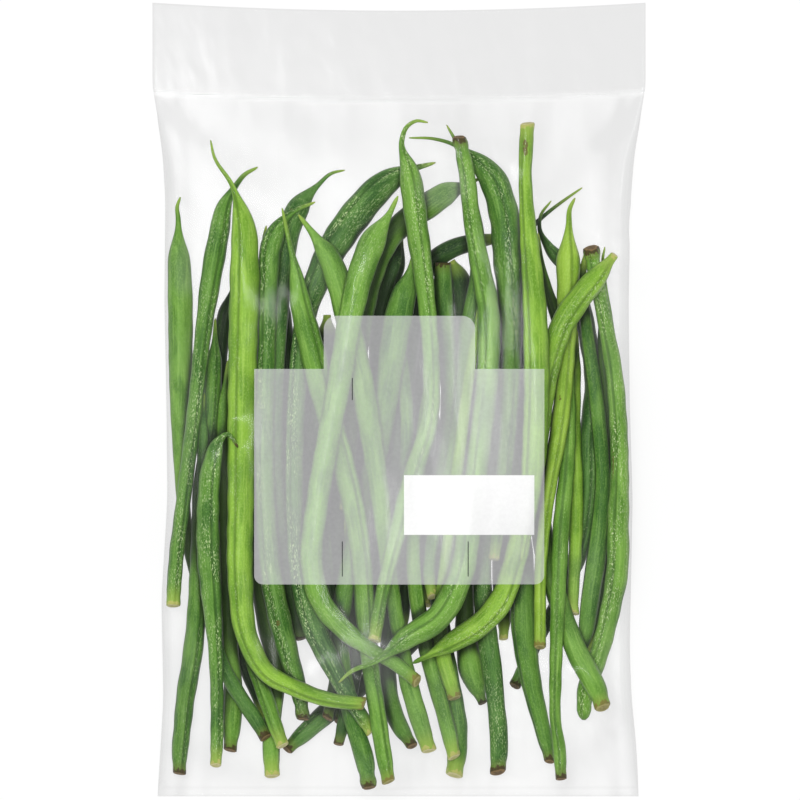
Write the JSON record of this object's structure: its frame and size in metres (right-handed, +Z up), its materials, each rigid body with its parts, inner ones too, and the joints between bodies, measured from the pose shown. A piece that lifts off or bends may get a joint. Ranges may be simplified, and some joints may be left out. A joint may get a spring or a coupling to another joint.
{
  "type": "green bean bundle",
  "caption": "Bundle of whole fine green beans lying side by side in a clear flat produce bag with a plain header band and a bare printed field.",
  "frame": {"origin": "on the surface it lies on, under the middle of the bag's bounding box", "axes": "+X to the bag's right as seen from above, +Y towards its closed header, +Z up, away from the surface"},
  "size_m": [0.1482, 0.2384, 0.0354],
  "materials": {
    "pod_bright": "waxy green bean skin, satin",
    "pod_yellow": "waxy green bean skin, satin",
    "pod_fresh": "waxy green bean skin, satin",
    "pod_mid": "waxy green bean skin, satin",
    "pod_dark": "waxy green bean skin, satin",
    "pod_deep": "waxy green bean skin, satin",
    "film": "clear glossy polypropylene film",
    "field_ink": "translucent pale grey print under gloss film"
  },
  "bodies": {
    "root": {"pod_01": "pod_fresh", "pod_02": "pod_mid", "pod_03": "pod_bright", "pod_04": "pod_mid", "pod_05": "pod_mid", "pod_06": "pod_bright", "pod_07": "pod_fresh", "pod_08": "pod_dark", "pod_09": "pod_bright", "pod_10": "pod_fresh", "pod_11": "pod_fresh", "pod_12": "pod_mid", "pod_13": "pod_fresh", "pod_14": "pod_mid", "pod_15": "pod_fresh", "pod_16": "pod_deep", "pod_17": "pod_mid", "pod_18": "pod_bright", "pod_19": "pod_deep", "pod_20": "pod_dark", "pod_21": "pod_fresh", "pod_22": "pod_yellow", "pod_23": "pod_bright", "pod_24": "pod_fresh", "pod_25": "pod_fresh", "pod_26": "pod_mid", "pod_27": "pod_dark", "pod_28": "pod_dark", "pod_29": "pod_mid", "pod_30": "pod_deep", "pod_31": "pod_dark", "pod_32": "pod_fresh", "pod_33": "pod_dark", "pod_34": "pod_fresh", "pod_35": "pod_mid", "pod_36": "pod_dark", "pod_37": "pod_mid", "pod_38": "pod_fresh", "pod_39": "pod_bright", "pod_40": "pod_dark", "pod_41": "pod_dark", "pod_42": "pod_bright", "pod_43": "pod_fresh", "pod_44": "pod_mid", "pod_45": "pod_mid", "pod_46": "pod_deep", "pod_47": "pod_deep", "pod_48": "pod_deep", "pod_49": "pod_deep", "pod_50": "pod_deep", "pod_51": "pod_deep", "pod_52": "pod_deep", "pod_53": "pod_deep", "bag_film": "film", "printed_field": "field_ink"}
  },
  "joints": []
}
